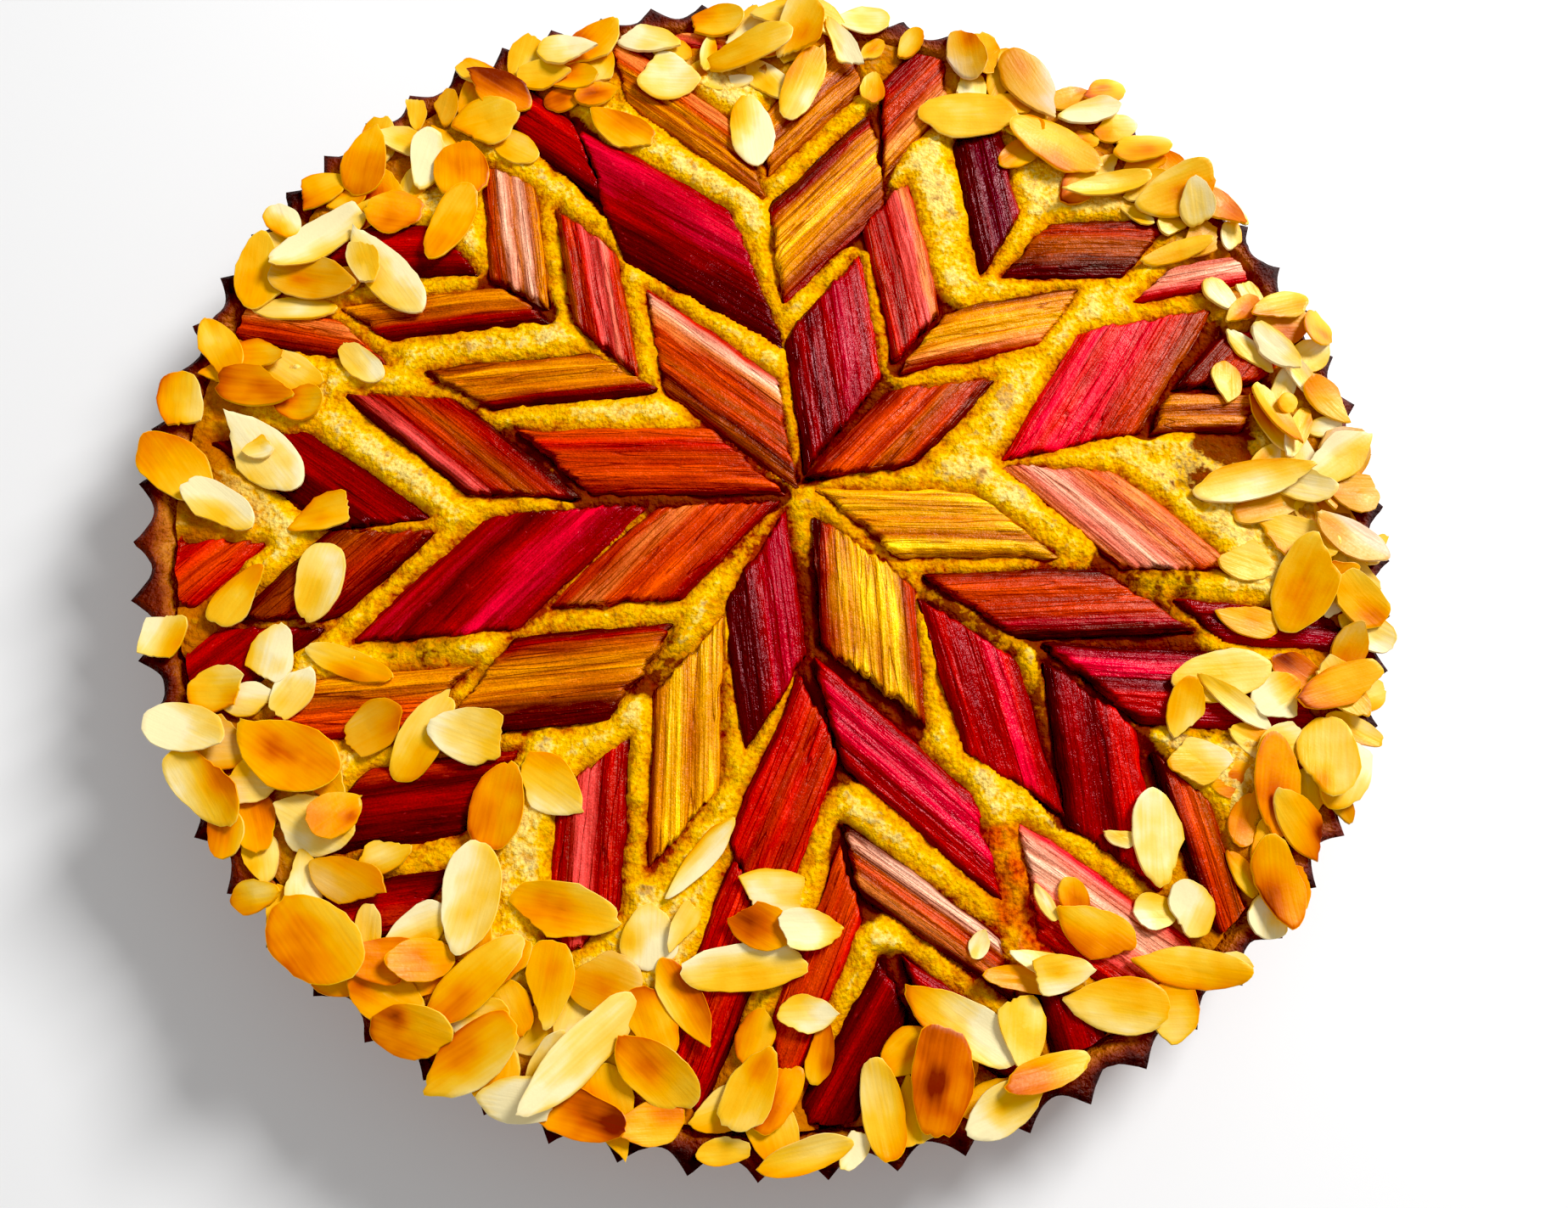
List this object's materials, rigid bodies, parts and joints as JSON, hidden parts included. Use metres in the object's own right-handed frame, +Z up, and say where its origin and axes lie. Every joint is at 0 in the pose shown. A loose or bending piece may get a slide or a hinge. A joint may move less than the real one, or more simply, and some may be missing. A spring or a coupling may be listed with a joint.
{
  "type": "rhubarb frangipane tart",
  "caption": "Round open tart in a fluted pastry case, with a star of diamond-cut rhubarb sunk in almond filling and a border of flaked almonds.",
  "frame": {"origin": "middle of the tart's flat base, on the surface it stands on", "axes": "+Z up through the middle of the star; +Y towards the far side in the picture, along one seam of the star"},
  "size_m": [0.28, 0.2796, 0.0352],
  "materials": {
    "pastry": "matt, flaky, well browned",
    "frangipane": "matt, crumbly",
    "almond": "satin, toasted",
    "rhubarb_crimson": "skin side up, glossy",
    "rhubarb_dark": "skin side up, browned, glossy",
    "rhubarb_wine": "skin side up, glossy",
    "rhubarb_red": "ridged, glossy",
    "rhubarb_bright": "ridged, glossy",
    "rhubarb_pink": "ridged, glossy",
    "rhubarb_pale": "cut side up, satin",
    "rhubarb_peach": "cut side up, satin",
    "rhubarb_orange": "cut side up, satin",
    "rhubarb_rust": "cut side up, satin",
    "rhubarb_brown": "cut side up, browned, satin",
    "rhubarb_gold": "cut side up, golden, satin",
    "rhubarb_yellow": "cut side up, golden, satin"
  },
  "bodies": {
    "root": {"crust": "pastry", "frangipane": "frangipane", "rhubarb_a01": "rhubarb_orange", "rhubarb_a02": "rhubarb_crimson", "rhubarb_a03": "rhubarb_pink", "rhubarb_a04": "rhubarb_crimson", "rhubarb_a05": "rhubarb_brown", "rhubarb_a06": "rhubarb_gold", "rhubarb_a07": "rhubarb_orange", "rhubarb_b01": "rhubarb_orange", "rhubarb_b02": "rhubarb_gold", "rhubarb_b03": "rhubarb_rust", "rhubarb_b04": "rhubarb_gold", "rhubarb_b05": "rhubarb_orange", "rhubarb_b06": "rhubarb_dark", "rhubarb_b07": "rhubarb_dark", "rhubarb_c01": "rhubarb_rust", "rhubarb_c02": "rhubarb_crimson", "rhubarb_c03": "rhubarb_gold", "rhubarb_c04": "rhubarb_dark", "rhubarb_c05": "rhubarb_dark", "rhubarb_c06": "rhubarb_red", "rhubarb_c07": "rhubarb_orange", "rhubarb_c08": "rhubarb_dark", "rhubarb_c09": "rhubarb_dark", "rhubarb_d01": "rhubarb_wine", "rhubarb_d02": "rhubarb_gold", "rhubarb_d03": "rhubarb_orange", "rhubarb_d04": "rhubarb_red", "rhubarb_d05": "rhubarb_orange", "rhubarb_d06": "rhubarb_orange", "rhubarb_e01": "rhubarb_yellow", "rhubarb_e02": "rhubarb_crimson", "rhubarb_e03": "rhubarb_red", "rhubarb_e04": "rhubarb_crimson", "rhubarb_e05": "rhubarb_pale", "rhubarb_e06": "rhubarb_brown", "rhubarb_e07": "rhubarb_dark", "rhubarb_e08": "rhubarb_dark", "rhubarb_e09": "rhubarb_brown", "rhubarb_e10": "rhubarb_dark", "rhubarb_f01": "rhubarb_yellow", "rhubarb_f02": "rhubarb_rust", "rhubarb_f03": "rhubarb_peach", "rhubarb_f04": "rhubarb_crimson", "rhubarb_f05": "rhubarb_dark", "rhubarb_g01": "rhubarb_rust", "rhubarb_g02": "rhubarb_bright", "rhubarb_g03": "rhubarb_gold", "rhubarb_g04": "rhubarb_brown", "rhubarb_g05": "rhubarb_pale", "rhubarb_g06": "rhubarb_gold", "rhubarb_g07": "rhubarb_rust", "rhubarb_h01": "rhubarb_wine", "rhubarb_h02": "rhubarb_gold", "rhubarb_h03": "rhubarb_red", "rhubarb_h04": "rhubarb_wine", "rhubarb_h05": "rhubarb_red", "rhubarb_h06": "rhubarb_brown"}
  },
  "joints": []
}
